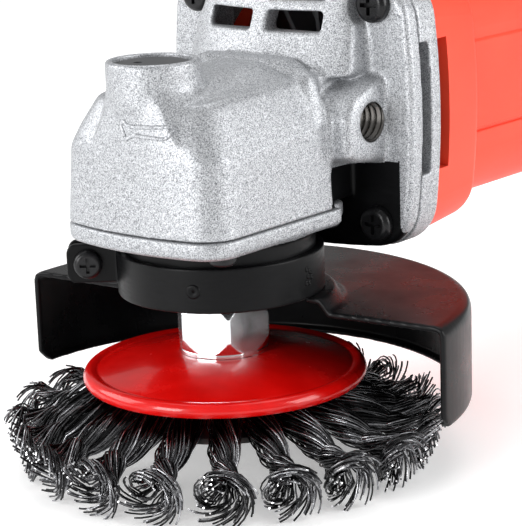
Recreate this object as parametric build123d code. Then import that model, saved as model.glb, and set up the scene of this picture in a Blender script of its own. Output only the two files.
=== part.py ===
from build123d import *
import os
from math import atan2, cos, hypot, pi, radians, sin

# Angle grinder, 115 mm class, with a bevel wire brush on its spindle.
# Z is the spindle axis, up through the gear head. Y runs back along the motor. X is to the right
# of someone holding the grinder. The origin is the seat of the spindle, where an accessory stops.

# ---- driving dimensions, millimetres ----
MOTOR_Z = 44.0  # height of the motor axis over the spindle seat
PARTING_Z = 22.3  # gear housing meets bearing box
HEAD_HALF = 25.8  # half width of the gear head
HEAD_FRONT = 34.0  # how far the gear head reaches in front of the spindle
HEAD_BOW = 4.3  # of its front wall
HEAD_BACK = 14.5
HEAD_CORNER = 9.0
HEAD_DRAFT = 1.0  # how much smaller the walls are at the ridge
SHOULDER_HALF, SHOULDER_FRONT, SHOULDER_CORNER = 20.5, 32.2, 15.0  # outline above the slopes
CROWN_HALF, CROWN_FRONT, CROWN_CORNER = 13.5, 31.8, 9.0  # outline of the head's top
CROWN_ROUND = 2.5
WALL = 2.4
PLATE = 4.6  # of the bearing box

RIDGE_Z, RIDGE_RISE = 43.8, 0.085  # where the head's upright walls end, and its climb to the back
SHOULDER_Z, SHOULDER_RISE = 54.2, 0.11  # where the slopes end
CROWN_Z, CROWN_RISE = 58.2, 0.085  # the head's top

FLANGE_Y0, FLANGE_Y1 = 28.6, 33.2  # rear flange of the gear housing
RING_Y1 = 41.2  # back of the exhaust ring
FLARE_Y1 = 62.0  # back of the motor housing's wide front
BODY_Y1 = 150.0  # back of the motor housing
HANDLE_Y1 = 238.0  # back of the grip
FLANGE_HALF_X, FLANGE_HALF_Z = 39.2, 35.6
FLANGE_BOW = 2.8
FLANGE_CORNER = 12.0
VENT_LOW, VENT_HIGH = MOTOR_Z - 15, MOTOR_Z + 18  # exhaust slots, beside the motor axis
SCREW_X, SCREW_Z = 28.5, 27.5  # housing screws, from the motor axis
BODY_HALF, BODY_TALL, BODY_CORNER = 29.6, 30.4, 14.0  # half width, half height, corner radius

HANDLE_HOLE_Y, HANDLE_HOLE_Z = 23.5, 43.2
HANDLE_HOLE_R, HANDLE_HOLE_DEPTH = 5.0, 14.0
BOSS_X = 31.0

LOCK_Y = -21.6  # spindle lock, from the spindle axis
LOCK_TOP = 62.9
LOCK_OUTER_R = 11.4
LOCK_PIN_R = 2.0

COLLAR_R = 24.0
COLLAR_Z0 = 1.6
BOX_SCREWS = [(20.8, -23.0), (17.6, 21.0)]  # on the right side, and mirrored on the left
BEARING_Y = 22.9  # front of the armature's front bearing
BAND_Z0, BAND_Z1 = 2.3, 13.3
BAND_INNER, BAND_OUTER = 24.06, 26.0
GUARD_R, GUARD_Z0, GUARD_Z1 = 62.5, -26.0, -0.9
GUARD_MIDDLE, GUARD_SPAN = 96.5, 178.0  # degrees about Z from +X
SHEET = 1.5
EAR_ANGLE = 220.0
EAR_R, EAR_Z0, EAR_Z1 = 38.4, 5.2, 15.2

CROWN_TEETH, PINION_TEETH = 36, 12
MODULE = 1.0
FACE_WIDTH = 6.0
NOTCHES = 4  # in the crown gear's rim, for the lock pin
RIM_R = 22.4
LOCK_ANGLE = -90.0  # of the notch under the lock pin

NUT_FLATS, NUT_LENGTH = 22.0, 13.6
NUT_TURN = 17.0  # degrees from +X to a corner
DISC_R, DISC_Z = 36.0, -19.6  # rim of the brush's cap disc
KNOTS = 20
KNOT_TURN = 3.0  # degrees from +X to the first knot
KNOT_START, KNOT_END = (23.0, -23.0), (52.5, -33.4)  # radius and height of a knot's ends
KNOT_R0, KNOT_R1 = 2.6, 6.8

SHAFT_R = 4.0
CORE_Y0, CORE_Y1 = 76.0, 116.0
CORE_R = 17.4
STATOR_INNER, STATOR_OUTER = 18.2, 28.0
COMMUTATOR_Y0, COMMUTATOR_Y1, COMMUTATOR_R = 126.0, 138.0, 11.0
BRUSH_Y = 132.0
FAN_Y0, FAN_Y1, FAN_R = 46.5, 57.5, 29.0
FAN_BLADES = 15

# distance back, half width, half height and middle height of each section of the grip
GRIP_SECTIONS = [(BODY_Y1, 31.0, 31.5, 44.0), (168.0, 28.0, 29.5, 44.0), (200.0, 26.0, 28.5, 43.0),
                 (226.0, 26.5, 29.5, 42.0), (HANDLE_Y1, 24.5, 27.0, 42.0)]
GRIP_SCREWS = [(158.0, 65.0), (158.0, 23.0), (205.0, 64.0), (205.0, 22.5)]  # distance back, height
GLAND_Z = 42.0
SLIDER_Y, SLIDER_Z = 186.0, 46.0
SLIDER_TRAVEL = 7.0
GAP = 0.3  # between curved faces of different bodies
RUN = 0.05  # radial clearance of a running fit

MOTOR_AXIS = Axis((0, 0, MOTOR_Z), (0, 1, 0))


# ---- construction helpers ----
def upright(radius, z0, z1, x=0.0, y=0.0):
    """Cylinder along Z between two heights."""
    return extrude(Plane((x, y, z0)) * Circle(radius), z1 - z0)


def lengthwise(radius, y0, y1, x=0.0, z=MOTOR_Z):
    """Cylinder along Y between two distances back."""
    plane = Plane(origin=(x, y0, z), x_dir=(1, 0, 0), z_dir=(0, 1, 0))
    return extrude(plane * Circle(radius), y1 - y0)


def crosswise(radius, x0, x1, y, z):
    """Cylinder along X between two distances across."""
    plane = Plane(origin=(x0, y, z), x_dir=(0, 1, 0), z_dir=(1, 0, 0))
    return extrude(plane * Circle(radius), x1 - x0)


def block(x0, x1, y0, y1, z0, z1):
    """Box between two corners."""
    centre = Pos((x0 + x1) / 2, (y0 + y1) / 2, (z0 + z1) / 2)
    return centre * Box(x1 - x0, y1 - y0, z1 - z0)


def prism(plane, points, length):
    """Outline drawn on a plane, pulled along the plane's normal."""
    return extrude(plane * Polygon(*points, align=None), length, dir=plane.z_dir)


def turned(*points):
    """Solid turned about the spindle, from (radius, height) points."""
    return revolve(Plane.XZ * Polygon(*points, align=None), Axis.Z)


def turned_on_motor(*points):
    """Solid turned about the motor axis, from (distance back, radius) points."""
    plane = Plane(origin=(0, 0, MOTOR_Z), x_dir=(0, 1, 0), z_dir=(1, 0, 0))
    return revolve(plane * Polygon(*points, align=None), MOTOR_AXIS)


def sector(radius, z0, z1, middle, span):
    """Wedge about Z, less than half a turn each side of its middle, angles in degrees."""
    steps = [middle + span * (i / 6 - 0.5) for i in range(7)]
    rim = [(radius * cos(radians(a)), radius * sin(radians(a))) for a in steps]
    return prism(Plane((0, 0, z0)), [(0, 0), *rim], z1 - z0)


def bowed_square(shrink=0.0):
    """Cross section of the flange: a square whose sides bow outward, with rounded corners."""
    x, z = FLANGE_HALF_X - shrink, FLANGE_HALF_Z - shrink
    cx, cz = x - FLANGE_BOW, z - FLANGE_BOW
    ends = [(cx, -cz), (cx, cz), (-cx, cz), (-cx, -cz)]
    tops = [(x, 0), (0, z), (-x, 0), (0, -z)]
    sides = [ThreePointArc(ends[i], tops[i], ends[(i + 1) % 4]) for i in range(4)]
    face = make_face(sides)
    return fillet(face.vertices(), FLANGE_CORNER)


def side_plane(x):
    """Plane across X: its local x is Y, its local y is Z, and its normal points to +X."""
    return Plane(origin=(x, 0, 0), x_dir=(0, 1, 0), z_dir=(1, 0, 0))


def back_plane(y, z=MOTOR_Z):
    """Plane across the motor axis: its local x is X, and its normal points back."""
    return Plane(origin=(0, y, z), x_dir=(1, 0, 0), z_dir=(0, 1, 0))


def flange_corners(x=SCREW_X, z=SCREW_Z):
    return [(sx * x, MOTOR_Z + sz * z) for sx in (-1, 1) for sz in (-1, 1)]


def pan_head(radius, height):
    """Low domed screw head with a cross recess, standing on the XY plane."""
    head = extrude(Circle(radius), height)
    head = fillet(head.edges().group_by(Axis.Z)[-1], height * 0.55)
    arm = radius * 0.55
    for length, width in ((2 * arm, radius * 0.24), (radius * 0.24, 2 * arm)):
        head -= Pos(0, 0, height) * Box(length, width, height)
    return head


def screw(head_r, head_h, shank_r, length):
    """Pan head screw: the head stands on the XY plane, and the shank runs down Z."""
    return pan_head(head_r, head_h) + Pos(0, 0, -length) * extrude(Circle(shank_r), length)


# ---- gear head ----
def head_outline(half, front, back, corner):
    """Plan of the gear head: a slightly bowed front wall and straight sides."""
    y = HEAD_BOW - front
    front_wall = ThreePointArc((-half, y), (0, -front), (half, y))
    rest = Polyline((half, y), (half, back), (-half, back), (-half, y))
    face = make_face([front_wall, *rest.edges()])
    return fillet(face.vertices().group_by(Axis.Y)[0], corner)


def tilted(z, rise):
    """Plane at height z over the spindle that climbs towards the back."""
    return Plane(origin=(0, 0, z), x_dir=(1, 0, 0), z_dir=(0, -rise, 1))


def gear_head_block():
    """Upright walls, the slopes above them and the low crown on top, before any hollow."""
    plan = head_outline(HEAD_HALF, HEAD_FRONT, HEAD_BACK, HEAD_CORNER)
    drafted = head_outline(HEAD_HALF - HEAD_DRAFT, HEAD_FRONT - HEAD_DRAFT, HEAD_BACK, HEAD_CORNER)
    ridge = tilted(RIDGE_Z, RIDGE_RISE) * drafted
    shoulder = tilted(SHOULDER_Z, SHOULDER_RISE) * head_outline(
        SHOULDER_HALF, SHOULDER_FRONT, HEAD_BACK, SHOULDER_CORNER)
    crown = tilted(CROWN_Z, CROWN_RISE) * head_outline(CROWN_HALF, CROWN_FRONT, HEAD_BACK, CROWN_CORNER)
    body = loft([Plane((0, 0, PARTING_Z)) * plan, ridge]) + loft([ridge, shoulder])
    body += loft([shoulder, crown])
    rim = body.edges().filter_by(lambda e: e.center().Z > 55 and e.center().Y < HEAD_BACK - 1)
    return fillet(rim, CROWN_ROUND)


def lock_collar():
    """Round tower that holds the spindle lock button, with a saddle behind it."""
    tower = turned((0, 48), (9.6, 48), (LOCK_OUTER_R, 53.0), (LOCK_OUTER_R, LOCK_TOP), (0, LOCK_TOP))
    tower = Pos(0, LOCK_Y, 0) * tower
    tower = chamfer(tower.edges().group_by(Axis.Z)[-1], 0.5)
    saddle = extrude(Plane((0, LOCK_Y + 2, 54)) * SlotCenterToCenter(4, 2 * LOCK_OUTER_R - 0.2, rotation=90), 8)
    fall = [(LOCK_Y + 2, LOCK_TOP - 0.8), (LOCK_Y + 18, LOCK_TOP - 4.8), (LOCK_Y + 18, 70), (LOCK_Y + 2, 70)]
    saddle -= prism(side_plane(-15), fall, 30)
    saddle &= block(-15, 15, LOCK_Y + 2, LOCK_Y + 20, 54, 70)
    return tower + saddle


def neck():
    """Block that joins the gear head to the flange, with the front bearing inside."""
    bar = block(-20.5, 20.5, 10, FLANGE_Y0 + 1, PARTING_Z, 64)
    bar -= extrude(tilted(SHOULDER_Z, SHOULDER_RISE) * Rectangle(200, 200), 30)
    return fillet(bar.edges().filter_by(lambda e: abs(e.center().X) > 20 and e.center().Z > 53), 3.0)


def cowl_section(z, front, half, sag):
    """Plan of the cowl at one height: a bowed front between two corners, and a straight back."""
    y = front + sag
    bow = ThreePointArc((-half, y), (0, front), (half, y))
    rest = Polyline((half, y), (half, FLANGE_Y0 + 1), (-half, FLANGE_Y0 + 1), (-half, y))
    return Plane((0, 0, z)) * make_face([bow, *rest.edges()])


def cowl():
    """Bowed and sloping cover of the air way between the gear head and the flange."""
    cover = loft([cowl_section(54.0, 12.6, 26.5, 8.0), cowl_section(78.4, 21.6, 24.0, 5.0)])
    sides = cover.edges().filter_by(lambda e: e.center().Y < 27 and abs(e.center().X) > 15)
    return fillet(sides, 1.6)


def handle_boss(sign):
    """Boss on one side for the side handle's thread."""
    y1 = FLANGE_Y0 + 1
    outline = [(13.4, 35.4), (13.4, 45), (16, 50.2), (24, 53.2), (y1, 54.2), (y1, 32), (17.5, 33.6)]
    inner = 17
    boss = prism(side_plane(min(sign * inner, sign * BOSS_X)), outline, BOSS_X - inner)
    rim = boss.edges().filter_by(lambda e: abs(e.center().X) > BOSS_X - 0.1 and e.center().Y < 28)
    return fillet(rim, 2.4)


def vent_slots():
    """Two columns of slots through the cowl."""
    tools = []
    for row in range(2):
        z = 67.4 + 7.6 * row
        for sign in (-1, 1):
            tools.append(Pos(sign * 10.0, 22, z) * Box(15.4, 30, 5.0))
    return tools


def screw_pocket(x, z):
    """Clear space in front of the flange for a housing screw and its driver."""
    return lengthwise(5.6, 0, FLANGE_Y0, x, z)


def gear_cavity():
    """Space for the crown gear, the pinion and the spindle's upper bush."""
    room = upright(HEAD_HALF - WALL, PARTING_Z - 1, 41.5)
    loft_room = upright(19, 41, 47.2) - upright(8, 43.5, 50)
    way = lengthwise(8.4, 8.6, BEARING_Y + 1)
    bush = upright(6.5, 40, 51.5)
    pin_room = upright(LOCK_PIN_R + 0.4, 30.5, 41.5, y=LOCK_Y)
    return room + loft_room + way + bush + pin_room


def gear_housing():
    """Die cast gear head with its flange, lock tower and two handle bosses."""
    flange = extrude(back_plane(FLANGE_Y0) * bowed_square(), FLANGE_Y1 - FLANGE_Y0)
    flange = fillet(flange.edges().group_by(Axis.Y)[0], 1.6)
    body = gear_head_block() + lock_collar() + neck() + cowl()
    body += handle_boss(1) + handle_boss(-1)
    for x, z in flange_corners():
        body -= screw_pocket(x, z)
    body += flange
    body -= gear_cavity()
    body -= upright(9.6, 54.3, LOCK_TOP + 1, y=LOCK_Y)
    body -= upright(4.8, 48.2, 56, y=LOCK_Y)
    body -= upright(LOCK_PIN_R + RUN, 40, 50, y=LOCK_Y)
    body -= lengthwise(13, BEARING_Y, BEARING_Y + 9)
    body -= lengthwise(17.5, BEARING_Y + 8, FLANGE_Y1 + 1)
    airway = [(27.0, 76.6), (FLANGE_Y1 + 1, 76.6), (FLANGE_Y1 + 1, 62.5), (22.5, 62.5), (22.5, 66)]
    body -= prism(side_plane(-21.0), airway, 42)
    for slot in vent_slots():
        body -= slot & block(-40, 40, 10, 30, 62.6, 78)
    for x, z in flange_corners():
        body -= lengthwise(2.4, 20, 40, x, z)
    for sign in (-1, 1):
        body -= crosswise(HANDLE_HOLE_R, sign * (BOSS_X - HANDLE_HOLE_DEPTH), sign * 40,
                          HANDLE_HOLE_Y, HANDLE_HOLE_Z)
    for x, y in box_screw_places():
        body -= upright(1.5, 18, 32, x, y)
    return body


def box_screw_places():
    """Where the four screws of the bearing box stand."""
    return [(sx * x, y) for sx in (-1, 1) for x, y in BOX_SCREWS]


def bearing_box():
    """Lower plate of the gear head, with the collar that the guard clamps to."""
    z0 = PARTING_Z - PLATE
    plate = extrude(Plane((0, 0, z0)) * head_outline(HEAD_HALF, HEAD_FRONT, 17.0, HEAD_CORNER), PLATE)
    for sign in (-1, 1):
        plate += upright(4.2, z0, PARTING_Z, sign * BOX_SCREWS[1][0], BOX_SCREWS[1][1])
    plate += block(-21.5, 21.5, 10, 20.5, z0, PARTING_Z)
    plate = fillet(plate.edges().group_by(Axis.Z)[0], 1.8)
    plate += upright(COLLAR_R, COLLAR_Z0, z0 + 1)
    plate += upright(18.0, PARTING_Z - 1, 27.5)
    plate -= upright(14.0, 19.5, 30)
    plate -= upright(9.2, 0, 22)
    plate -= upright(20.6, 0, 8.0) - upright(12.0, 0, 9.0)
    for x, y in box_screw_places():
        plate -= upright(1.7, 10, PARTING_Z + 1, x, y)
    for i in range(3):
        a = radians(60 + 120 * i)
        plate -= upright(1.0, 22, 28, 16 * cos(a), 16 * sin(a))
    return plate


def box_screws():
    """Four screws that hold the bearing box, put in from below."""
    one = Rot(180, 0, 0) * screw(3.3, 2.0, 1.5, 14.0)
    return [Pos(x, y, PARTING_Z - PLATE) * one for x, y in box_screw_places()]


def retainer_plate():
    """Ring that holds the spindle bearing down."""
    ring = upright(17.6, 27.5, 28.9) - upright(9.5, 27, 30)
    for i in range(3):
        a = radians(60 + 120 * i)
        ring -= upright(1.15, 27, 30, 16 * cos(a), 16 * sin(a))
    return ring


def retainer_screws():
    """Three small screws of the retainer plate."""
    one = pan_head(1.5, 1.0) + Pos(0, 0, -5) * extrude(Circle(0.95), 5)
    places = [radians(60 + 120 * i) for i in range(3)]
    return [Pos(16 * cos(a), 16 * sin(a), 28.9) * one for a in places]


def ball_bearing(inner, outer, width):
    """Sealed ball bearing with shallow grooves between race and seal, along Z from zero."""
    ring = extrude(Circle(outer) - Circle(inner), width)
    groove = extrude(Circle(outer - 1.6) - Circle(inner + 1.6), 0.35)
    ring -= groove
    ring -= Pos(0, 0, width - 0.35) * groove
    return ring


def spindle_bearing():
    return Pos(0, 0, 19.5) * ball_bearing(6 + RUN, 14.0, 8.0)


def spindle_bush():
    """Plain bush for the top of the spindle."""
    return upright(6.5, 43.6, 51.5) - upright(4 + RUN, 43, 52)


def front_bearing():
    return back_plane(BEARING_Y) * ball_bearing(5 + RUN, 13.0, 8.0)


def bearing_cover():
    """Plate behind the armature's front bearing."""
    y = BEARING_Y + 8
    plate = lengthwise(17.2, y, y + 1.5) - lengthwise(8.0, 29, 34)
    for i in range(3):
        a = radians(90 + 120 * i)
        plate -= lengthwise(1.3, 29, 34, 15 * cos(a), MOTOR_Z + 15 * sin(a))
    return plate


# ---- spindle lock ----
def lock_button():
    """Cap that is pressed to hold the spindle still."""
    cap = turned((0, 58.0), (9.3, 58.0), (9.3, 60.4), (8.5, 60.4), (8.5, 61.8), (8.1, 62.2), (0, 62.2))
    cap = Pos(0, LOCK_Y, 0) * cap
    cap -= upright(7.0, 57.6, 59.2, y=LOCK_Y) - upright(2.9, 57.6, 59.2, y=LOCK_Y)
    return cap - upright(1.1, 61.7, 63, x=-2.5, y=LOCK_Y - 2.5)


def lock_pin():
    """Plunger under the button that drops into a notch of the crown gear."""
    return chamfer(upright(LOCK_PIN_R, 35.2, 58.0, y=LOCK_Y).edges().group_by(Axis.Z)[0], 0.4)


def lock_ring():
    """Ring that keeps the button in its tower."""
    return upright(9.6, 60.7, 61.7, y=LOCK_Y) - upright(8.8, 60, 63, y=LOCK_Y)


def lock_spring():
    """Coil spring under the button."""
    radius = 3.7
    path = Helix(pitch=1.8, height=9.9, radius=radius)
    start = path.position_at(0)
    profile = Plane(origin=start, z_dir=path.tangent_at(0)) * Circle(0.35)
    return Pos(0, LOCK_Y, 48.7) * sweep(profile, path=path)


# ---- bevel gears ----
def cone_tooth(axial, radial, side, pitch_r, other_r):
    """One straight bevel tooth, tapering to the point where the two axes cross."""
    cone = hypot(pitch_r, other_r)
    along = (Vector(*axial) * other_r + Vector(*radial) * pitch_r) / cone
    out = (Vector(*radial) * other_r - Vector(*axial) * pitch_r) / cone
    across = Vector(*side)
    pitch = pi * MODULE
    apex = Vector(0, 0, MOTOR_Z)
    faces = []
    for distance in (cone, cone - FACE_WIDTH):
        scale = distance / cone
        corners = []
        for height, width in ((-1.5, 0.29), (0.85, 0.11)):
            for sign in (1, -1) if height < 0 else (-1, 1):
                corners.append(apex + along * distance + out * (height * scale)
                               + across * (sign * width * pitch * scale))
        faces.append(make_face(Polyline(*corners, close=True)))
    return loft(faces)


def crown_gear():
    """Large bevel gear on the spindle, with notches in its rim for the lock pin."""
    pitch_r = MODULE * CROWN_TEETH / 2
    other = MODULE * PINION_TEETH / 2
    blank = turned((6, 31), (RIM_R, 31), (RIM_R, 34.2), (18.2, 34.2),
                   (pitch_r - 0.35, MOTOR_Z - other - 1.04), (12.07, 39.19), (10.5, 37.0), (6, 37.0))
    teeth = []
    for i in range(CROWN_TEETH):
        a = 2 * pi * i / CROWN_TEETH
        radial, side = (cos(a), sin(a), 0), (-sin(a), cos(a), 0)
        teeth.append(cone_tooth((0, 0, -1), radial, side, pitch_r, other))
    gear = blank.fuse(*[t.solid() for t in teeth])
    for i in range(NOTCHES):
        a = radians(LOCK_ANGLE + 360 * i / NOTCHES)
        x, y = -LOCK_Y * cos(a), -LOCK_Y * sin(a)
        notch = upright(LOCK_PIN_R + GAP, 30, 34.6, x, y)
        mouth = Pos(x, y, 0) * Rot(0, 0, LOCK_ANGLE + 360 * i / NOTCHES) * \
            block(0, 8, -LOCK_PIN_R - GAP, LOCK_PIN_R + GAP, 30, 34.6)
        gear -= notch + mouth
    return gear


def pinion():
    """Small bevel gear on the armature shaft."""
    pitch_r = MODULE * PINION_TEETH / 2
    other = MODULE * CROWN_TEETH / 2
    blank = turned_on_motor((12.5, 2.5), (12.5, 3.38), (18.35, 4.96), (18.35, 6.4), (19.4, 6.4),
                            (21.8, 6.4), (21.8, 2.5))
    teeth = []
    for i in range(PINION_TEETH):
        a = 2 * pi * (i + 0.5) / PINION_TEETH - pi / 2
        radial, side = (cos(a), 0, sin(a)), (-sin(a), 0, cos(a))
        teeth.append(cone_tooth((0, 1, 0), radial, side, pitch_r, other))
    return blank.fuse(*[t.solid() for t in teeth])


def pinion_nut():
    """Hexagon nut on the end of the armature shaft."""
    plane = back_plane(8.9)
    nut = extrude(plane * RegularPolygon(3.3, 6), 3.4)
    return nut - lengthwise(2.5, 8, 13)


# ---- spindle and brush ----
def spindle():
    """Turned steel spindle, with the accessory thread below its seat."""
    shaft = turned((0, -17.5), (6.2, -17.5), (7, -16.5), (7, 0), (8.8, 0), (8.8, 19.3), (6, 19.3),
                   (6, 37.05), (5.2, 37.05), (5.2, 38.15), (6, 38.15), (6, 39.4), (4, 39.4),
                   (4, 50.6), (3.6, 51), (0, 51))
    for sign in (-1, 1):
        shaft -= Pos(sign * 9.2, 0, 3.2) * Box(3, 20, 6.4)
    return shaft


def gear_clip():
    """Spring clip in the spindle's groove, over the crown gear."""
    ring = upright(7.8, 37.1, 38.1) - upright(5.2, 37, 38.2)
    return ring - block(3, 9, -1.6, 1.6, 37, 38.2)


def hub_nut():
    """Hexagon hub of the brush, screwed on the spindle and riveted through its discs."""
    hexagon = RegularPolygon(NUT_FLATS / 2, 6, major_radius=False, rotation=NUT_TURN)
    nut = extrude(Plane((0, 0, -NUT_LENGTH)) * hexagon, NUT_LENGTH)
    low = -NUT_LENGTH
    barrel = turned((0, low), (11.3, low), (12.8, low + 1.6), (12.8, -1.6), (11.3, 0), (0, 0))
    nut = nut & barrel
    nut += upright(9.6, -26.0, -NUT_LENGTH)
    return nut - upright(7, -30, 1)


def cap_disc():
    """Domed disc over the roots of the knots, with a rolled rim."""
    outer = [(9.6, -NUT_LENGTH), (13.8, -NUT_LENGTH), (31.6, -17.3), (32.8, -18.1), (34.0, -17.6)]
    rim = [(35.4, -17.9), (DISC_R, DISC_Z), (35.7, -20.8), (34.4, -20.8), (34.2, -19.4)]
    under = [(32.8, -19.4), (31.4, -18.7), (13.4, -NUT_LENGTH - 1.4), (9.6, -NUT_LENGTH - 1.4)]
    return turned(*outer, *rim, *under)


def base_disc():
    """Flat disc under the roots of the knots."""
    return turned((9.6, -24.0), (18.5, -24.0), (27.5, -28.7), (28.4, -29.8), (27.2, -30.1), (18.2, -25.4),
                  (9.6, -25.4))


def wire_knots():
    """Outer form of the twisted knots of steel wire, one closed solid each."""
    (r0, z0), (r1, z1) = KNOT_START, KNOT_END
    length = hypot(r1 - r0, z1 - z0)
    knots = []
    for i in range(KNOTS):
        a = radians(KNOT_TURN + 360 * i / KNOTS)
        direction = (cos(a) * (r1 - r0), sin(a) * (r1 - r0), z1 - z0)
        plane = Plane(origin=(r0 * cos(a), r0 * sin(a), z0), z_dir=direction)
        knots.append(loft([plane * Circle(KNOT_R0), plane.offset(length) * Circle(KNOT_R1)]))
    return knots


# ---- guard ----
def guard():
    """Half cover of sheet steel: a plate that steps up to the band, and a skirt."""
    step = [(BAND_OUTER, BAND_Z0), (28.4, BAND_Z0), (31.2, GUARD_Z1), (GUARD_R - 2.4, GUARD_Z1)]
    outside = [*step, (GUARD_R - 0.7, GUARD_Z1 - 0.7), (GUARD_R, GUARD_Z1 - 2.4), (GUARD_R, GUARD_Z0)]
    lip_z = GUARD_Z0 - 0.6
    lip = [(GUARD_R - 0.5, lip_z), (GUARD_R - 2.6, lip_z), (GUARD_R - 2.6, GUARD_Z0 + 0.5)]
    up = [(GUARD_R - SHEET, GUARD_Z0 + 0.9), (GUARD_R - SHEET, GUARD_Z1 - 2.7)]
    below = GUARD_Z1 - SHEET
    under = [(GUARD_R - 1.8, below), (GUARD_R - 2.9, below), (30.6, below)]
    close = [(27.8, BAND_Z0 - SHEET), (24.4, BAND_Z0 - SHEET), (24.4, BAND_Z0)]
    shell = turned(*outside, *lip, *up, *under, *close)
    shell = shell & sector(90, -40, 10, GUARD_MIDDLE, GUARD_SPAN)
    for end in (-1, 1):
        a = GUARD_MIDDLE + end * GUARD_SPAN / 2
        corner = Rot(0, 0, a) * Pos(GUARD_R - 1, 0, GUARD_Z0 - 3)
        shell -= corner * Rot(45, 0, 0) * Box(9, 7.5, 7.5)
    return shell


def clamp_band():
    """Band round the collar, with two ears drawn together by a screw."""
    ring = upright(BAND_OUTER, BAND_Z0, BAND_Z1) - upright(BAND_INNER, 0, 20)
    ears = Part()
    for side in (-1, 1):
        y0, y1 = (1.5, 3.3) if side > 0 else (-3.3, -1.5)
        ear = block(24.6, EAR_R, y0, y1, EAR_Z0, EAR_Z1)
        outer = ear.edges().filter_by(Axis.Y).group_by(Axis.X)[-1]
        ears += fillet(outer, 2.5)
    slot = block(20, 30, -1.5, 1.5, 0, 20)
    band = ring - Rot(0, 0, EAR_ANGLE) * slot
    band += Rot(0, 0, EAR_ANGLE) * ears
    band -= upright(BAND_INNER, 0, 20)
    place = ear_place()
    hole = place * (Pos(0, 0, -8) * extrude(Circle(2.2), 16))
    return band - hole


def ear_place():
    """Middle of the clamp screw, with local Z along the screw to its head."""
    turn = Rot(0, 0, EAR_ANGLE)
    return turn * Location((33.0, 0, (EAR_Z0 + EAR_Z1) / 2)) * Rot(-90, 0, 0)


def clamp_screw():
    """Screw that tightens the clamp band."""
    return ear_place() * Pos(0, 0, 3.3) * screw(3.6, 2.4, 2.0, 11.5)


def clamp_nut():
    """Square nut behind the far ear."""
    nut = extrude(Rectangle(7, 7) - Circle(2.0), 3.0)
    return ear_place() * Pos(0, 0, -6.3) * nut


# ---- motor housing ----
def exhaust_ring():
    """Cast ring between the gear housing and the motor housing, open at both sides."""
    depth = RING_Y1 - FLANGE_Y1
    ring = extrude(back_plane(FLANGE_Y1) * bowed_square(-0.3), depth)
    ring = fillet(ring.edges().group_by(Axis.Y)[-1], 1.2)
    ring -= lengthwise(33.0, FLANGE_Y1 - 1, RING_Y1 + 1)
    for x, z in flange_corners():
        ring -= lengthwise(2.6, 30, 50, x, z)
    for sign in (-1, 1):
        ring -= block(*sorted((sign * 30, sign * 45)), FLANGE_Y1 - 1, FLANGE_Y1 + 3.6, VENT_LOW, VENT_HIGH)
    return ring


def body_section(inset):
    """Cross section of the motor body: a square with well rounded corners, made smaller by inset."""
    return RectangleRounded(2 * (BODY_HALF - inset), 2 * (BODY_TALL - inset), BODY_CORNER - inset)


def motor_housing():
    """Moulded motor housing: a wide front, a round body and the rear bearing seat."""
    front = back_plane(RING_Y1) * bowed_square(0.5)
    back = back_plane(FLARE_Y1) * bowed_square(2.0)
    flare = loft([front, back])
    flare = fillet(flare.edges().group_by(Axis.Y)[-1], 3.0)
    body = extrude(back_plane(FLARE_Y1 - 4) * body_section(0), BODY_Y1 - FLARE_Y1 + 4)
    shell = flare + body
    shell -= lengthwise(33.0, RING_Y1 - 1, FLARE_Y1 - 2.6)
    shell -= lengthwise(28.2, FLARE_Y1 - 3, 122)
    shell -= extrude(back_plane(121.9) * body_section(2.4), 24.1)
    shell -= lengthwise(22.0, 140, BODY_Y1 + 1)
    shell += lengthwise(12.6, 140.5, BODY_Y1 - 0.5)
    for angle in range(3):
        a = radians(90 + 120 * angle)
        spoke = Rot(0, -90 - 120 * angle, 0) * block(10, 24, 141, 146, -3, 3)
        shell += Pos(0, 0, MOTOR_Z) * spoke
    shell -= lengthwise(10.3, 139, 148.2)
    shell -= lengthwise(4.6, 139, 152)
    for x, z in flange_corners():
        shell -= lengthwise(2.2, 30, FLARE_Y1 - 4, x, z)
    for sign in (-1, 1):
        shell -= block(*sorted((sign * 30, sign * 45)), RING_Y1 - 1, RING_Y1 + 4.8, VENT_LOW, VENT_HIGH)
        seat = crosswise(8.6, sign * 22, sign * 29.8, BRUSH_Y, MOTOR_Z)
        shell += seat
        shell -= crosswise(6.7, sign * 20, sign * 32, BRUSH_Y, MOTOR_Z)
    return shell


def housing_screws():
    """Four long screws through the flange and the ring into the motor housing."""
    one = Plane(origin=(0, 0, 0), x_dir=(1, 0, 0), z_dir=(0, -1, 0)) * screw(4.5, 3.0, 2.2, 27)
    return [Pos(x, FLANGE_Y0, z) * one for x, z in flange_corners()]


def fan_shroud():
    """Ring behind the fan that keeps the air moving forward."""
    ring = lengthwise(32.7, 58.2, 59.3) - lengthwise(21, 58, 64)
    return ring


def stator_core():
    """Laminated field core with two pole faces and slots for its coils."""
    core = lengthwise(STATOR_OUTER, CORE_Y0, CORE_Y1) - lengthwise(STATOR_INNER, 70, 120)
    for coil in coil_spaces(0.15, CORE_Y0 - 1, CORE_Y1 + 1):
        core -= coil
    return core


def ring_sector(r0, r1, y0, y1, middle, span):
    """Part of a tube about the motor axis. Angles in degrees, zero along +X."""
    tube = lengthwise(r1, y0, y1) - lengthwise(r0, y0 - 1, y1 + 1)
    steps = [middle + span * (i / 4 - 0.5) for i in range(5)]
    rim = [(60 * cos(radians(a)), -60 * sin(radians(a))) for a in steps]
    return tube & prism(back_plane(y0 - 1), [(0, 0), *rim], y1 - y0 + 2)


def coil_spaces(extra, y0, y1):
    """The four legs of the two field coils."""
    legs = []
    for middle in (90, 270):
        for side in (-1, 1):
            turn, span = middle + side * 62, 22 + 2 * extra
            legs.append(ring_sector(19.6 - extra, 24.6 + extra, y0, y1, turn, span))
    return legs


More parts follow.
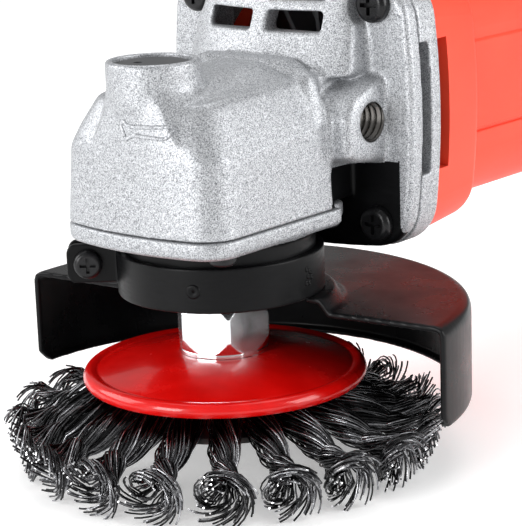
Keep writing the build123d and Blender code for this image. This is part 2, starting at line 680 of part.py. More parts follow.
def field_coils():
    """Two saddle coils of the stator."""
    coils = []
    for middle in (90, 270):
        saddle = ring_sector(19.6, 24.6, CORE_Y0 - 8, CORE_Y1 + 8, middle, 146)
        saddle -= ring_sector(15, 30, CORE_Y0 - 0.2, CORE_Y1 + 0.2, middle, 102)
        coils.append(saddle)
    return coils


def brush_holders():
    """Two brass tubes that guide the carbon brushes."""
    holders = []
    for sign in (-1, 1):
        plane = Plane(origin=(sign * 13.0, BRUSH_Y, MOTOR_Z), x_dir=(0, 1, 0), z_dir=(sign, 0, 0))
        tube = extrude(plane * (Rectangle(8.6, 8.6) - Rectangle(6.8, 6.8)), 14.6)
        collar = extrude(plane.offset(9.4) * (Circle(6.6) - Rectangle(6.8, 6.8)), 5.2)
        holders.append(tube + collar)
    return holders


def carbon_brushes():
    """Two carbon blocks that press on the commutator."""
    brushes = []
    for sign in (-1, 1):
        x0, x1 = sorted((sign * (COMMUTATOR_R + 0.2), sign * 21.5))
        brush = block(x0, x1, BRUSH_Y - 3.2, BRUSH_Y + 3.2, MOTOR_Z - 3.2, MOTOR_Z + 3.2)
        brushes.append(brush - lengthwise(COMMUTATOR_R + GAP, 120, 145))
    return brushes


def brush_springs():
    """Coil springs between the carbon brushes and their caps."""
    springs = []
    for sign in (-1, 1):
        path = Helix(pitch=1.4, height=4.2, radius=2.2)
        profile = Plane(origin=path.position_at(0), z_dir=path.tangent_at(0)) * Circle(0.3)
        coil = sweep(profile, path=path)
        place = Plane(origin=(sign * 22.0, BRUSH_Y, MOTOR_Z), x_dir=(0, 1, 0), z_dir=(sign, 0, 0))
        springs.append(place * coil)
    return springs


def brush_caps():
    """Slotted screw caps over the carbon brushes."""
    caps = []
    for sign in (-1, 1):
        plane = Plane(origin=(sign * 27.7, BRUSH_Y, MOTOR_Z), x_dir=(0, 1, 0), z_dir=(sign, 0, 0))
        cap = extrude(plane * Circle(6.6), 3.4)
        cap -= Pos(sign * 31.4, BRUSH_Y, MOTOR_Z) * Box(2.6, 10.4, 1.8)
        cap = chamfer(cap.edges().filter_by(GeomType.CIRCLE).group_by(Axis.X)[-1 if sign > 0 else 0], 0.4)
        caps.append(cap)
    return caps


# ---- armature ----
def armature_shaft():
    """Steel shaft of the armature, stepped for its bearings and the pinion."""
    front = [(8.2, 0), (8.2, 2.2), (8.6, 2.5), (21.8, 2.5), (21.8, 5), (44, 5), (44, SHAFT_R)]
    back = [(141.6, SHAFT_R), (141.6, 3.5), (147.6, 3.5), (148.0, 3.1), (148.0, 0)]
    return turned_on_motor(*front, *back)


def armature_core():
    """Laminated core with slots for the windings."""
    core = lengthwise(CORE_R, CORE_Y0, CORE_Y1)
    for i in range(12):
        a = 2 * pi * i / 12
        core -= lengthwise(1.9, 70, 120, 13.9 * cos(a), MOTOR_Z + 13.9 * sin(a))
        slit = Rot(0, -30 * i, 0) * block(14, 19, 70, 120, -0.8, 0.8)
        core -= Pos(0, 0, MOTOR_Z) * slit
    return core - lengthwise(SHAFT_R, 70, 120)


def armature_windings():
    """Varnished end turns at both ends of the core."""
    ends = []
    for y, sign in ((CORE_Y0, -1), (CORE_Y1, 1)):
        bulge = [(4.5, 15.0), (7.5, 11.8), (7.8, 5.2)]
        points = [(y, 5.2), (y, 15.6)] + [(y + sign * step, radius) for step, radius in bulge]
        ends.append(turned_on_motor(*points) - lengthwise(5.2, 60, 130))
    return ends


def commutator():
    """Copper segments on an insulating sleeve."""
    drum = lengthwise(COMMUTATOR_R, COMMUTATOR_Y0, COMMUTATOR_Y1)
    drum += lengthwise(COMMUTATOR_R + 2.0, COMMUTATOR_Y0 - 1.8, COMMUTATOR_Y0)
    for i in range(24):
        slit = Rot(0, 15 * i, 0) * block(COMMUTATOR_R - 0.8, 16, 120, 140, -0.25, 0.25)
        drum -= Pos(0, 0, MOTOR_Z) * slit
    return drum - lengthwise(SHAFT_R, 110, 150)


def fan():
    """Radial cooling fan."""
    wheel = lengthwise(FAN_R, FAN_Y1 - 1.6, FAN_Y1) - lengthwise(SHAFT_R, 40, 60)
    wheel += lengthwise(7.5, FAN_Y0, FAN_Y1) - lengthwise(SHAFT_R, 40, 60)
    blades = []
    for i in range(FAN_BLADES):
        blade = block(11, FAN_R - 0.4, FAN_Y0, FAN_Y1 - 1.0, -0.6, 0.6)
        lean = Rot(0, 360 * i / FAN_BLADES, 0) * Pos(4, 0, 0) * Rot(0, 24, 0) * Pos(-4, 0, 0)
        blades.append(Pos(0, 0, MOTOR_Z) * lean * blade)
    wheel = wheel.fuse(*[b.solid() for b in blades])
    return wheel & lengthwise(FAN_R, 40, 60)


def rear_bearing():
    return back_plane(141.6) * ball_bearing(3.5 + RUN, 9.5, 6.0)


def bearing_sleeve():
    """Rubber sleeve between the rear bearing and its seat."""
    return lengthwise(10.3, 141.0, 148.2) - lengthwise(9.5, 140, 147.6) - lengthwise(6.5, 140, 150)


# ---- rear grip ----
def grip_form(inset, y_end):
    """Form of the grip: a smooth run of rounded sections, made smaller by inset."""
    faces = []
    for y, half_x, half_z, z in GRIP_SECTIONS:
        y = min(y, y_end)
        plane = Plane(origin=(0, y, z), x_dir=(1, 0, 0), z_dir=(0, 1, 0))
        wide, tall = 2 * (half_x - inset), 2 * (half_z - inset)
        faces.append(plane * RectangleRounded(wide, tall, min(wide, tall) * 0.42))
    return loft(faces)


def grip_shell(sign):
    """One half of the grip, parted on the middle plane."""
    outer = grip_form(0, HANDLE_Y1)
    outer = fillet(outer.edges().group_by(Axis.Y)[-1], 4.0)
    shell = outer - grip_form(2.6, HANDLE_Y1 - 3.0)
    shell = shell & block(*sorted((0, sign * 60)), BODY_Y1, HANDLE_Y1 + 5, 0, 90)
    shell -= lengthwise(22, 148, 152)
    shell -= lengthwise(7.2, HANDLE_Y1 - 8, HANDLE_Y1 + 4, 0, GLAND_Z)
    for i in range(5):
        slot = block(*sorted((sign * 15, sign * 40)), 208 + 4.6 * i, 210.2 + 4.6 * i, 32, 54)
        shell -= slot
    for y, z in GRIP_SCREWS:
        post = crosswise(4.0, *sorted((sign * 0.0, sign * 24.5)), y, z)
        shell += post
        bore = 1.6 if sign > 0 else 2.1
        shell -= crosswise(bore, *sorted((0, sign * 22.0)), y, z)
        if sign < 0:
            shell -= crosswise(3.9, -40, -22.0, y, z)
            shell -= crosswise(bore, -30, -21.0, y, z)
    if sign < 0:
        y0, y1 = SLIDER_Y - 11 - SLIDER_TRAVEL, SLIDER_Y + 11
        shell -= block(-32, -18, y0, y1, SLIDER_Z - 5.2, SLIDER_Z + 5.2)
    return shell


def grip_screws():
    """Screws that hold the two halves of the grip together."""
    one = Plane(origin=(0, 0, 0), x_dir=(0, 1, 0), z_dir=(-1, 0, 0)) * screw(3.5, 2.2, 1.6, 36)
    return [Pos(-22.0, y, z) * one for y, z in GRIP_SCREWS]


def switch_body():
    """Mains switch inside the grip."""
    body = block(-16.2, 4.0, SLIDER_Y - 16, SLIDER_Y + 12, SLIDER_Z - 8, SLIDER_Z + 8)
    return fillet(body.edges().filter_by(Axis.X), 1.5)


def switch_slider():
    """Ribbed thumb slide of the switch."""
    face_x = -29.3
    pad = block(face_x, -24.2, SLIDER_Y - 8.5, SLIDER_Y + 8.5, SLIDER_Z - 4.8, SLIDER_Z + 4.8)
    for i in range(5):
        rib = Pos(face_x, SLIDER_Y - 6 + 3 * i, SLIDER_Z) * Box(1.6, 1.3, 12)
        pad -= rib
    pad += block(-24.4, -16.7, SLIDER_Y - 4, SLIDER_Y + 4, SLIDER_Z - 3, SLIDER_Z + 3)
    skirt = block(-22.3, -20.9, SLIDER_Y - 11, SLIDER_Y + 11, SLIDER_Z - 4.8, SLIDER_Z + 4.8)
    return pad + skirt


def cord_gland():
    """Ring in the end of the grip where the cord would enter."""
    ring = lengthwise(7.2, HANDLE_Y1 - 6.5, HANDLE_Y1 + 0.5, 0, GLAND_Z)
    ring += lengthwise(9.0, HANDLE_Y1 - 6.5, HANDLE_Y1 - 3.6, 0, GLAND_Z)
    ring += lengthwise(9.0, HANDLE_Y1, HANDLE_Y1 + 2.2, 0, GLAND_Z)
    ring = chamfer(ring.edges().filter_by(GeomType.CIRCLE).group_by(Axis.Y)[-1], 0.8)
    return ring - lengthwise(4.0, HANDLE_Y1 - 20, HANDLE_Y1 + 20, 0, GLAND_Z)


# ---- nodes ----
NODES = {
    "gear_housing": gear_housing,
    "bearing_box": bearing_box,
    "bearing_box_screws": box_screws,
    "bearing_retainer": retainer_plate,
    "retainer_screws": retainer_screws,
    "spindle_bearing": spindle_bearing,
    "spindle_bush": spindle_bush,
    "armature_front_bearing": front_bearing,
    "bearing_cover": bearing_cover,
    "lock_button": lock_button,
    "lock_pin": lock_pin,
    "lock_ring": lock_ring,
    "lock_spring": lock_spring,
    "crown_gear": crown_gear,
    "pinion": pinion,
    "pinion_nut": pinion_nut,
    "spindle": spindle,
    "crown_gear_clip": gear_clip,
    "brush_hub_nut": hub_nut,
    "brush_cap_disc": cap_disc,
    "brush_base_disc": base_disc,
    "brush_wire_knots": wire_knots,
    "guard": guard,
    "guard_clamp_band": clamp_band,
    "guard_clamp_screw": clamp_screw,
    "guard_clamp_nut": clamp_nut,
    "exhaust_ring": exhaust_ring,
    "motor_housing": motor_housing,
    "housing_screws": housing_screws,
    "fan_shroud": fan_shroud,
    "stator_core": stator_core,
    "field_coils": field_coils,
    "brush_holders": brush_holders,
    "carbon_brushes": carbon_brushes,
    "brush_springs": brush_springs,
    "brush_caps": brush_caps,
    "armature_shaft": armature_shaft,
    "armature_core": armature_core,
    "armature_windings": armature_windings,
    "commutator": commutator,
    "cooling_fan": fan,
    "armature_rear_bearing": rear_bearing,
    "rear_bearing_sleeve": bearing_sleeve,
    "grip_shell_right": lambda: grip_shell(1),
    "grip_shell_left": lambda: grip_shell(-1),
    "grip_screws": grip_screws,
    "switch_body": switch_body,
    "switch_slider": switch_slider,
    "cord_gland": cord_gland,
}


def write_nodes():
    os.makedirs("parts", exist_ok=True)
    for name, make in NODES.items():
        shape = make()
        pieces = list(shape) if isinstance(shape, list) else [shape]
        solids = [solid for piece in pieces for solid in piece.solids()]
        whole = solids[0] if len(solids) == 1 else Compound(children=solids)
        export_step(whole, f"parts/{name}.step")


write_nodes()
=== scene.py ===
import math
import random

import bmesh
import bpy
import numpy as np
from mathutils import Matrix, Vector
from mathutils.bvhtree import BVHTree


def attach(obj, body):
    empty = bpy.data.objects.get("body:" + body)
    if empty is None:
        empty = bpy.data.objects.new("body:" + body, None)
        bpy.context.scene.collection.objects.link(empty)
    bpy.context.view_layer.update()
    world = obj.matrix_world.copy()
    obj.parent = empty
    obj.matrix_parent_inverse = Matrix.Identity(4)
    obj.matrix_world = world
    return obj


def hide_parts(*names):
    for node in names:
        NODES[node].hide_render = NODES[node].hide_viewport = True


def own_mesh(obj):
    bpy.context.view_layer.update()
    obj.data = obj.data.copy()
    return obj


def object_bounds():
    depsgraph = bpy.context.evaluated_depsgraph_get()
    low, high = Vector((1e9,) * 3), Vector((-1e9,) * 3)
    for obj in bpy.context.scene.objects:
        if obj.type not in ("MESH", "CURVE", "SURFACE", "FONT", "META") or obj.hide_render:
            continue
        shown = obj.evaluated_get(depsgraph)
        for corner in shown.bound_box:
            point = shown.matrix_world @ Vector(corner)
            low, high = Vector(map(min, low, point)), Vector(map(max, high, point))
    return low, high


# The looks of an angle grinder with a bevel wire brush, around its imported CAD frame.
# Everything is in metres in the frame's axes: Z up along the spindle, Y back along the motor.

MM = 0.001
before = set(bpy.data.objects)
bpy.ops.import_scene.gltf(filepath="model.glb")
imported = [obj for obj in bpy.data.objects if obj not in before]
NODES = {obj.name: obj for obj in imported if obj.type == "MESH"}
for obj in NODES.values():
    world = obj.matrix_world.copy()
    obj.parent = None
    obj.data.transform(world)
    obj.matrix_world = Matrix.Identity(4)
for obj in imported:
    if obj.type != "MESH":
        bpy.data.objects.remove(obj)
CAD_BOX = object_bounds()
SCENE = bpy.context.scene


# ---- shader graphs ----
class Graph:
    """A material's node tree, with one call to add a node and its inputs."""

    def __init__(self, name):
        self.material = bpy.data.materials.new(name)
        self.material.use_nodes = True
        self.tree = self.material.node_tree
        self.shader = next(n for n in self.tree.nodes if n.type == "BSDF_PRINCIPLED")
        self.place = self.add("ShaderNodeTexCoord").outputs["Object"]

    def add(self, kind, inputs=None, **settings):
        node = self.tree.nodes.new(kind)
        for key, value in settings.items():
            setattr(node, key, value)
        for key, value in (inputs or {}).items():
            self.set(node.inputs[key], value)
        return node

    def set(self, socket, value):
        if isinstance(value, bpy.types.NodeSocket):
            self.tree.links.new(value, socket)
        else:
            socket.default_value = value

    def noise(self, scale, detail=2.0, roughness=0.5, place=None):
        inputs = {"Vector": place or self.place, "Scale": scale, "Detail": detail, "Roughness": roughness}
        return self.add("ShaderNodeTexNoise", inputs).outputs["Fac"]

    def stretched(self, *scale):
        return self.add("ShaderNodeMapping", {"Vector": self.place, "Scale": scale}).outputs["Vector"]

    def remap(self, value, low, high, to_low, to_high):
        inputs = {"Value": value, "From Min": low, "From Max": high, "To Min": to_low, "To Max": to_high}
        return self.add("ShaderNodeMapRange", inputs).outputs["Result"]

    def math(self, operation, a, b=0.0):
        return self.add("ShaderNodeMath", {0: a, 1: b}, operation=operation).outputs[0]

    def mix(self, factor, a, b):
        node = self.add("ShaderNodeMix", data_type="RGBA")
        self.set(node.inputs["Factor"], factor)
        self.set(node.inputs["A"], colour(a))
        self.set(node.inputs["B"], colour(b))
        return node.outputs["Result"]

    def bump(self, height, strength, distance, normal=None):
        inputs = {"Height": height, "Strength": strength, "Distance": distance}
        if normal is not None:
            inputs["Normal"] = normal
        return self.add("ShaderNodeBump", inputs).outputs["Normal"]

    def finish(self, **sockets):
        names = {"base": "Base Color", "rough": "Roughness", "metal": "Metallic", "normal": "Normal",
                 "coat": "Coat Weight", "coat_rough": "Coat Roughness", "specular": "Specular IOR Level",
                 "aniso": "Anisotropic", "glow": "Emission Color", "glow_strength": "Emission Strength"}
        for key, value in sockets.items():
            self.set(self.shader.inputs[names[key]], colour(value))
        return self.material


def colour(value):
    """A triple gets its alpha; anything else passes."""
    return (*value, 1.0) if isinstance(value, tuple) and len(value) == 3 else value


def paint(name, base, rough, grain, depth, metal=0.0, spread=0.15, specular=0.5):
    """Painted, moulded or machined surface: a fine grain, and a slow drift of its tone."""
    g = Graph(name)
    fine, slow = g.noise(grain, 3.0), g.noise(45.0, 3.0)
    dark = tuple(c * (1 - spread) for c in base)
    light = tuple(min(1.0, c * (1 + spread)) for c in base)
    tone = g.mix(g.remap(g.math("ADD", g.math("MULTIPLY", fine, 0.5), g.math("MULTIPLY", slow, 0.5)),
                         0.35, 0.65, 0.0, 1.0), dark, light)
    return g.finish(base=tone, metal=metal, rough=g.remap(slow, 0.3, 0.7, rough * 0.85, rough * 1.15),
                    normal=g.bump(fine, depth, 0.00008), coat=0.0, coat_rough=0.1, specular=specular)


def hammered_silver():
    """Die cast metal under a silver paint full of fine flakes."""
    g = Graph("cast_silver")
    flakes = g.noise(3400.0, 2.0, 0.7)
    patches = g.noise(1100.0, 2.0)
    slow = g.noise(38.0, 3.0)
    fleck = g.remap(g.math("ADD", g.math("MULTIPLY", flakes, 0.85), g.math("MULTIPLY", patches, 0.15)),
                    0.37, 0.63, 0.0, 1.0)
    tone = g.mix(fleck, (0.115, 0.12, 0.13), (0.66, 0.675, 0.7))
    tone = g.mix(g.remap(slow, 0.3, 0.7, 0.0, 0.2), tone, (0.36, 0.37, 0.385))
    relief = g.bump(flakes, 0.35, 0.00008, g.bump(patches, 0.12, 0.00015))
    rough = g.remap(fleck, 0.0, 1.0, 0.56, 0.44)
    return g.finish(base=tone, metal=0.6, rough=rough, normal=relief, specular=0.5)


def moulded_red():
    """Orange-red moulded plastic with a spark eroded grain and faint flow marks."""
    g = Graph("housing_red")
    grain, slow = g.noise(3800.0, 2.0), g.noise(28.0, 4.0)
    flow = g.noise(90.0, 4.0, place=g.stretched(1.0, 0.25, 1.0))
    tone = g.mix(g.remap(slow, 0.3, 0.7, 0.0, 1.0), (0.80, 0.05, 0.02), (0.9, 0.066, 0.027))
    tone = g.mix(g.remap(flow, 0.45, 0.75, 0.0, 0.25), tone, (0.95, 0.1, 0.055))
    rough = g.remap(flow, 0.3, 0.7, 0.34, 0.46)
    return g.finish(base=tone, rough=rough, normal=g.bump(grain, 0.16, 0.00006), specular=0.3)


def gloss_paint(name, base, rough, coat, peel=0.12, specular=0.5):
    """Glossy enamel with orange peel and a few dull smears."""
    g = Graph(name)
    peel_height, smear = g.noise(420.0, 2.0), g.noise(60.0, 5.0, 0.6)
    tone = g.mix(g.remap(smear, 0.35, 0.7, 0.0, 1.0), base, tuple(min(1.0, c * 1.35 + 0.002) for c in base))
    return g.finish(base=tone, rough=g.remap(smear, 0.3, 0.75, rough * 0.8, rough * 1.5),
                    normal=g.bump(peel_height, peel, 0.0001), coat=coat, coat_rough=0.06, specular=specular)


def metal(name, base, rough, lines=(1.0, 1.0, 1.0), scale=900.0, depth=0.12, spots=0.0):
    """Bare metal with fine machining lines, stretched across the given axis, and dull spots."""
    g = Graph(name)
    scratch = g.noise(scale, 4.0, 0.7, g.stretched(*lines))
    wear = g.noise(130.0, 5.0, 0.6)
    tone = g.mix(g.remap(scratch, 0.3, 0.7, 0.0, 1.0), tuple(c * 0.82 for c in base), base)
    if spots:
        tone = g.mix(g.remap(wear, 0.55, 0.75, 0.0, spots), tone, tuple(c * 0.35 for c in base))
    return g.finish(base=tone, metal=1.0, rough=g.remap(wear, 0.3, 0.7, rough * 0.75, rough * 1.4),
                    normal=g.bump(scratch, depth, 0.00005))


def zinc_plate():
    """Bright plated steel, almost even, with faint clouds."""
    g = Graph("nut_chrome")
    cloud, grain = g.noise(160.0, 3.0), g.noise(1800.0, 2.0)
    tone = g.mix(g.remap(cloud, 0.35, 0.65, 0.0, 1.0), (0.84, 0.87, 0.9), (0.92, 0.94, 0.96))
    return g.finish(base=tone, metal=1.0, rough=g.remap(cloud, 0.3, 0.7, 0.2, 0.27),
                    normal=g.bump(grain, 0.05, 0.00004))


def stacked_sheets():
    """Laminated iron: thin sheets along the motor axis, with a varnish between them."""
    g = Graph("lamination")
    wave = g.add("ShaderNodeTexWave", {"Vector": g.place, "Scale": 320.0, "Distortion": 0.4, "Detail": 2.0},
                 bands_direction="Y").outputs["Fac"]
    rust = g.noise(150.0, 5.0)
    tone = g.mix(g.remap(wave, 0.2, 0.8, 0.0, 1.0), (0.09, 0.085, 0.08), (0.34, 0.33, 0.32))
    tone = g.mix(g.remap(rust, 0.55, 0.75, 0.0, 0.5), tone, (0.16, 0.09, 0.05))
    return g.finish(base=tone, metal=0.8, rough=0.5, normal=g.bump(wave, 0.4, 0.0001))


def wound_copper():
    """Varnished copper turns."""
    g = Graph("copper_winding")
    wave = g.add("ShaderNodeTexWave", {"Vector": g.place, "Scale": 330.0, "Distortion": 2.5, "Detail": 2.0},
                 bands_direction="X").outputs["Fac"]
    drift = g.noise(90.0, 4.0)
    tone = g.mix(wave, (0.2, 0.045, 0.012), (0.72, 0.26, 0.1))
    tone = g.mix(g.remap(drift, 0.4, 0.7, 0.0, 0.5), tone, (0.3, 0.09, 0.03))
    relief = g.bump(wave, 0.5, 0.00015)
    return g.finish(base=tone, metal=0.7, rough=0.35, normal=relief, coat=0.4, coat_rough=0.2)


WIRE_TONES = [(0.2, 0.204, 0.22), (0.55, 0.55, 0.57), (0.9, 0.9, 0.92)]


def drawn_wire(name, share):
    """Oiled, hardened wire with drawing marks and brighter patches, darker for a lower share."""
    g = Graph(name)
    marks, patches = g.noise(1500.0, 3.0, 0.6), g.noise(240.0, 4.0, 0.6)
    dark, light, patch = (tuple(c * share for c in base) for base in WIRE_TONES)
    tone = g.mix(g.remap(marks, 0.35, 0.65, 0.0, 1.0), dark, light)
    tone = g.mix(g.remap(patches, 0.5, 0.72, 0.0, 0.8), tone, patch)
    return g.finish(base=tone, metal=1.0, rough=g.remap(patches, 0.3, 0.7, 0.16, 0.26),
                    normal=g.bump(marks, 0.15, 0.00005))


def ground_black():
    """Satin black band: paint over rolled sheet, with faint rolling lines."""
    g = Graph("band_black")
    lines = g.noise(300.0, 4.0, 0.6, g.stretched(1.0, 1.0, 6.0))
    grain = g.noise(2600.0, 2.0)
    tone = g.mix(g.remap(lines, 0.35, 0.7, 0.0, 1.0), (0.0016, 0.0017, 0.002), (0.0035, 0.0036, 0.0042))
    return g.finish(base=tone, rough=g.remap(lines, 0.3, 0.7, 0.3, 0.45),
                    normal=g.bump(grain, 0.2, 0.00006, g.bump(lines, 0.06, 0.0001)), specular=0.14)


SURFACES = {
    "cast_silver": hammered_silver(),
    "housing_red": moulded_red(),
    "grip_black": paint("grip_black", (0.022, 0.022, 0.024), 0.55, 3000.0, 0.35),
    "disc_red": gloss_paint("disc_red", (0.56, 0.0016, 0.0009), 0.22, 0.35, 0.1, 0.3),
    "guard_black": gloss_paint("guard_black", (0.003, 0.003, 0.0035), 0.26, 0.02, 0.14, 0.13),
    "band_black": ground_black(),
    "screw_black": paint("screw_black", (0.01, 0.01, 0.011), 0.3, 2400.0, 0.2, metal=0.3, spread=0.4,
                         specular=0.35),
    "nut_chrome": zinc_plate(),
    "wire_steel": drawn_wire("wire_steel", 0.3),
    "gear_steel": metal("gear_steel", (0.42, 0.41, 0.4), 0.32, (1.0, 1.0, 8.0), 800.0, 0.15, 0.4),
    "bearing_steel": metal("bearing_steel", (0.66, 0.67, 0.68), 0.2, (1.0, 1.0, 1.0), 900.0, 0.06),
    "button_black": paint("button_black", (0.03, 0.031, 0.034), 0.42, 2600.0, 0.3, spread=0.3),
    "spring_steel": metal("spring_steel", (0.5, 0.5, 0.52), 0.3),
    "bush_bronze": metal("bush_bronze", (0.56, 0.34, 0.13), 0.34, spots=0.4),
    "lamination": stacked_sheets(),
    "copper_winding": wound_copper(),
    "commutator_copper": metal("commutator_copper", (0.74, 0.36, 0.2), 0.24, (1.0, 12.0, 1.0), 500.0,
                               spots=0.5),
    "carbon": paint("carbon", (0.03, 0.03, 0.032), 0.6, 2200.0, 0.4, metal=0.3, spread=0.4),
    "brass": metal("brass", (0.72, 0.5, 0.18), 0.26, spots=0.3),
    "fan_plastic": paint("fan_plastic", (0.045, 0.046, 0.05), 0.5, 1800.0, 0.25),
    "rubber_black": paint("rubber_black", (0.014, 0.014, 0.014), 0.75, 1500.0, 0.4, spread=0.3),
    "slider_black": paint("slider_black", (0.02, 0.02, 0.02), 0.45, 2800.0, 0.3),
}


def slot_of(node):
    """The record's slot of a CAD node, from the name of its packed material."""
    name = node.data.materials[0].name if node.data.materials else ""
    return next((s for s in SURFACES if name == s or name.startswith(s + ".")), None)


SLOT = {name: slot_of(node) for name, node in NODES.items()}
for name, node in NODES.items():
    for index in range(len(node.data.materials)):
        node.data.materials[index] = SURFACES[SLOT[name]]


# ---- mesh helpers ----
def mesh_object(name, vertices, faces, material):
    mesh = bpy.data.meshes.new(name)
    mesh.from_pydata([tuple(v) for v in vertices], [], faces)
    mesh.materials.append(material)
    mesh.shade_smooth()
    obj = bpy.data.objects.new(name, mesh)
    SCENE.collection.objects.link(obj)
    return obj


def tube(path, radius, sides):
    """Vertices and quads of a tube along a line of points, with its ends left open for caps."""
    path = np.asarray(path, float)
    tangent = np.gradient(path, axis=0)
    tangent /= np.linalg.norm(tangent, axis=1)[:, None]
    side = np.cross(tangent[0], (0.0, 0.0, 1.0))
    side /= np.linalg.norm(side)
    vertices = []
    for point, t in zip(path, tangent):
        side = side - t * (side @ t)
        side /= np.linalg.norm(side)
        up = np.cross(t, side)
        for k in range(sides):
            a = 2 * math.pi * k / sides
            vertices.append(point + radius * (math.cos(a) * side + math.sin(a) * up))
    faces = []
    for i in range(len(path) - 1):
        for k in range(sides):
            n = (k + 1) % sides
            faces.append((i * sides + k, i * sides + n, (i + 1) * sides + n, (i + 1) * sides + k))
    return vertices, faces


def smoothstep(t):
    t = min(1.0, max(0.0, t))
    return t * t * (3 - 2 * t)


# ---- gear head, in millimetres ----
LOCK_Y, LOCK_R, LOCK_TOP = -21.6, 11.4, 62.9  # tower of the spindle lock
BORE_R, BORE_Z = 9.6, 54.3  # its bore, down to the ledge under the button
PARTING_Z = 22.3  # between the head and the bearing box
COLLAR_R, COLLAR_Z = 24.6, 17.4  # collar of the bearing box, inside the clamp band
MOTOR_Z = 44.0  # axis of the motor
FLANGE_BACK = 33.2
SCREWS = [(sx * 28.5, MOTOR_Z + sz * 27.5) for sx in (-1, 1) for sz in (-1, 1)]
HOLE_Y, HOLE_Z, HOLE_R, BOSS_X = 23.5, 43.2, 5.0, 31.0  # handle holes and the face of their bosses
RIDGE_Z, RIDGE_CLIMB, RIDGE_LINE = 42.2, 0.085, (25.2, 33.2, 9.0)  # foot of the slopes
CREASE_Z, CREASE_CLIMB, CREASE_LINE = 54.6, 0.05, (18.6, 26.6, 8.5)  # head of the slopes
DOME_RISE, DOME_REACH = 3.6, 14.0
FLARE_Z, FLARE_TILT, FLARE_FALL, FLARE_REACH = 54.6, 0.24, 2.3, 6.0  # foot of the tower
POCKET_X, POCKET_Y, POCKET_Z, POCKET_CLIMB = 35.2, 13.0, 28.6, 0.12  # room under the handle bosses, drawn in black band paint as painted shade
HEAD_CELL = 0.00042
HEAD_ROUNDS = 26


def skin_of(mesh, cell):
    """One closed skin around all the shells of a mesh, in cells of one size."""
    draft = bpy.data.objects.new("skin_draft", mesh)
    SCENE.collection.objects.link(draft)
    skin = draft.modifiers.new("skin", "REMESH")
    skin.mode = "VOXEL"
    skin.voxel_size = cell
    skin.use_smooth_shade = True
    ready = draft.evaluated_get(bpy.context.evaluated_depsgraph_get())
    result = bpy.data.meshes.new_from_object(ready)
    bpy.data.objects.remove(draft)
    return result


def places_of(mesh):
    place = np.empty(len(mesh.vertices) * 3)
    mesh.vertices.foreach_get("co", place)
    return place.reshape(-1, 3)


def relax(mesh, value, pull, rounds):
    """Draws each vertex's value towards the mean of its neighbours."""
    count = len(mesh.vertices)
    ends = np.empty(len(mesh.edges) * 2, int)
    mesh.edges.foreach_get("vertices", ends)
    a, b = ends.reshape(-1, 2).T
    degree = np.maximum(np.bincount(a, minlength=count) + np.bincount(b, minlength=count), 1)
    value = value.copy()
    for _ in range(rounds):
        for k in range(value.shape[1]):
            column = value[:, k]
            mean = (np.bincount(a, column[b], count) + np.bincount(b, column[a], count)) / degree
            value[:, k] = column + pull * (mean - column)
    return value


def head_softness(p):
    """How far each place of the head is rounded, from 0 at machined faces to 1 on raw casting."""
    x, y, z = p.T
    side = np.abs(x)
    share = np.ones(len(p))
    tower = np.hypot(x, y - LOCK_Y)
    share[(tower < 12.2) & (z > 58.5)] = 0.05
    share[(tower < 10.2) & (z > 46)] = 0.0
    share[z < PARTING_Z + 1.2] = 0.0
    share[(np.abs(z - 42.0 - RIDGE_CLIMB * y) < 1.3) & (y < 11)] = 0.1
    share[y > 30.2] = 0.0
    edge = (side > 36.2) | (np.abs(z - MOTOR_Z) > 32.8)
    share[(y > 26) & edge] = 0.04
    share[(np.hypot(y - HOLE_Y, z - HOLE_Z) < HOLE_R + 1.2) & (side > 15)] = 0.0
    for sx, sz in SCREWS:
        share[(np.hypot(x - sx, z - sz) < 6.4) & (y > 24)] = 0.15
    share[(side < 19.5) & (z > 63.2) & (z < 79.5) & (y < 24) & (y > 12)] = 0.12
    share[(np.hypot(x, y) < 23.9) & (z < 47.6) & (y < 20)] = 0.0
    share[(side < 17.6) & (np.abs(z - MOTOR_Z) < 18) & (y > 8)] = 0.0
    return share


def outline_gap(x, y, half, front, corner):
    """How far a place lies outside a rounded outline that is open to the back; negative inside."""
    qx = np.abs(x) - (half - corner)
    qy = -y - (front - corner)
    return np.hypot(np.maximum(qx, 0), np.maximum(qy, 0)) + np.minimum(np.maximum(qx, qy), 0) - corner


def head_top(x, y):
    """Height of the head's top: a low dome, the slopes round it and the flare of the tower."""
    crease = CREASE_Z + CREASE_CLIMB * y
    ridge = RIDGE_Z + RIDGE_CLIMB * y
    gap = outline_gap(x, y, *CREASE_LINE)
    below = -outline_gap(x, y, *RIDGE_LINE)
    share = np.clip(gap / np.maximum(gap + below, 0.01), 0, 1)
    slope = crease - share * (crease - ridge)
    inward = np.clip(-gap / DOME_REACH, 0, 1)
    dome = crease + DOME_RISE * inward * inward * (3 - 2 * inward)
    top = np.where(gap > 0, slope, dome)
    off = np.maximum(np.hypot(x, y - LOCK_Y) - LOCK_R, 0)
    flare = FLARE_Z + FLARE_TILT * x - FLARE_FALL * off
    return np.where(off < FLARE_REACH, np.maximum(top, flare), top)


def flat_copy(node_name):
    """A CAD node's mesh in the frame's axes."""
    node = NODES[node_name]
    mesh = node.data.copy()
    mesh.transform(node.matrix_world)
    return mesh


def dressed(name, mesh, body, surface, *nodes):
    """Puts a mesh in the scene in place of the CAD nodes it draws."""
    mesh.materials.clear()
    mesh.materials.append(SURFACES[surface])
    mesh.shade_smooth()
    piece = bpy.data.objects.new(name, mesh)
    SCENE.collection.objects.link(piece)
    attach(piece, body)
    if nodes:
        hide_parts(*nodes)
    return piece


